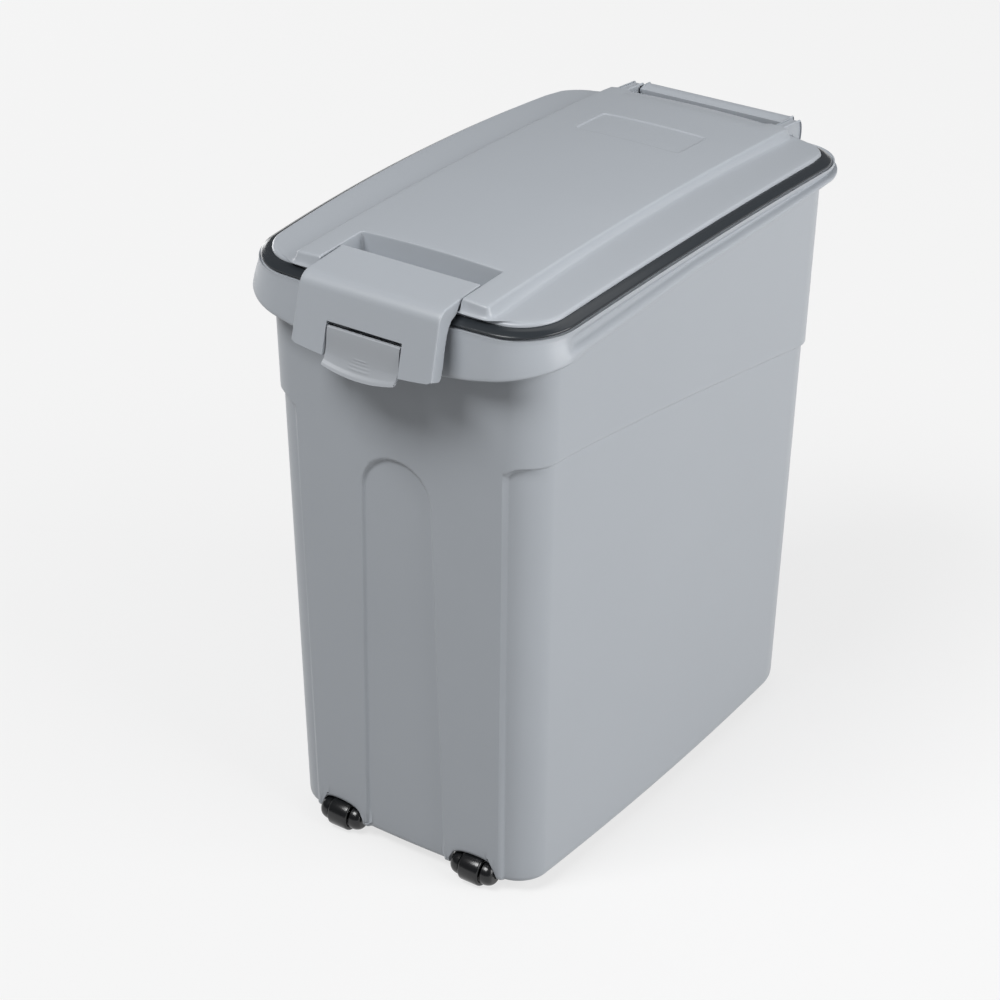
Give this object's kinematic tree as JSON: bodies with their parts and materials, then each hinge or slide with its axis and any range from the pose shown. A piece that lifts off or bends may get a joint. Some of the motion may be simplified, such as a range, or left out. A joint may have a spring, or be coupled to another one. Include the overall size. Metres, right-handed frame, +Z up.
{
  "type": "rice bin with flip lid",
  "caption": "Tapered grey plastic dry-food bin on small casters, with a hinged lid, a black sealing ring and a front latch flap with a release button.",
  "frame": {"origin": "middle of the bounding box on the floor under the casters", "axes": "+X to the right when facing the latch, -Y to the latch side, +Y to the hinge side, +Z up"},
  "size_m": [0.2248, 0.3874, 0.4027],
  "materials": {
    "bin_plastic": "satin injection-moulded polypropylene",
    "seal_rubber": "smooth moulded silicone",
    "caster_black": "glossy moulded plastic",
    "steel": "drawn wire"
  },
  "bodies": {
    "bin": {"bin_body": "bin_plastic", "hinge_pin": "steel", "caster_screws": "steel", "caster_housing_fl": "caster_black", "caster_housing_fr": "caster_black", "caster_housing_rl": "caster_black", "caster_housing_rr": "caster_black", "caster_axle_fl": "steel", "caster_axle_fr": "steel", "caster_axle_rl": "steel", "caster_axle_rr": "steel"},
    "lid": {"lid": "bin_plastic", "lid_gasket": "seal_rubber", "latch_pin": "steel"},
    "latch": {"latch_flap": "bin_plastic", "button_pin": "steel", "button_spring": "steel"},
    "button": {"release_button": "bin_plastic"},
    "roller_fl": {"caster_roller_fl": "caster_black"},
    "roller_fr": {"caster_roller_fr": "caster_black"},
    "roller_rl": {"caster_roller_rl": "caster_black"},
    "roller_rr": {"caster_roller_rr": "caster_black"}
  },
  "joints": [
    {"name": "lid_hinge", "type": "hinge", "parent": "bin", "child": "lid", "pos_m": [0, 0.18549, 0.3863], "axis": [-1, 0, 0], "range_deg": [0, 105]},
    {"name": "latch_hinge", "type": "hinge", "parent": "lid", "child": "latch", "pos_m": [0, -0.15101, 0.3936], "axis": [-1, 0, 0], "range_deg": [0, 110]},
    {"name": "button_hinge", "type": "hinge", "parent": "latch", "child": "button", "pos_m": [0, -0.18361, 0.3655], "axis": [-1, 0, 0], "range_deg": [0, 20], "stiffness_Nm_per_rad": 0.05, "springref_deg": -28.65},
    {"name": "roller_fl_spin", "type": "hinge", "parent": "bin", "child": "roller_fl", "pos_m": [-0.0505, -0.15311, 0.01], "axis": [1, 0, 0], "continuous": true},
    {"name": "roller_fr_spin", "type": "hinge", "parent": "bin", "child": "roller_fr", "pos_m": [0.0505, -0.15311, 0.01], "axis": [1, 0, 0], "continuous": true},
    {"name": "roller_rl_spin", "type": "hinge", "parent": "bin", "child": "roller_rl", "pos_m": [-0.0505, 0.15149, 0.01], "axis": [1, 0, 0], "continuous": true},
    {"name": "roller_rr_spin", "type": "hinge", "parent": "bin", "child": "roller_rr", "pos_m": [0.0505, 0.15149, 0.01], "axis": [1, 0, 0], "continuous": true}
  ]
}
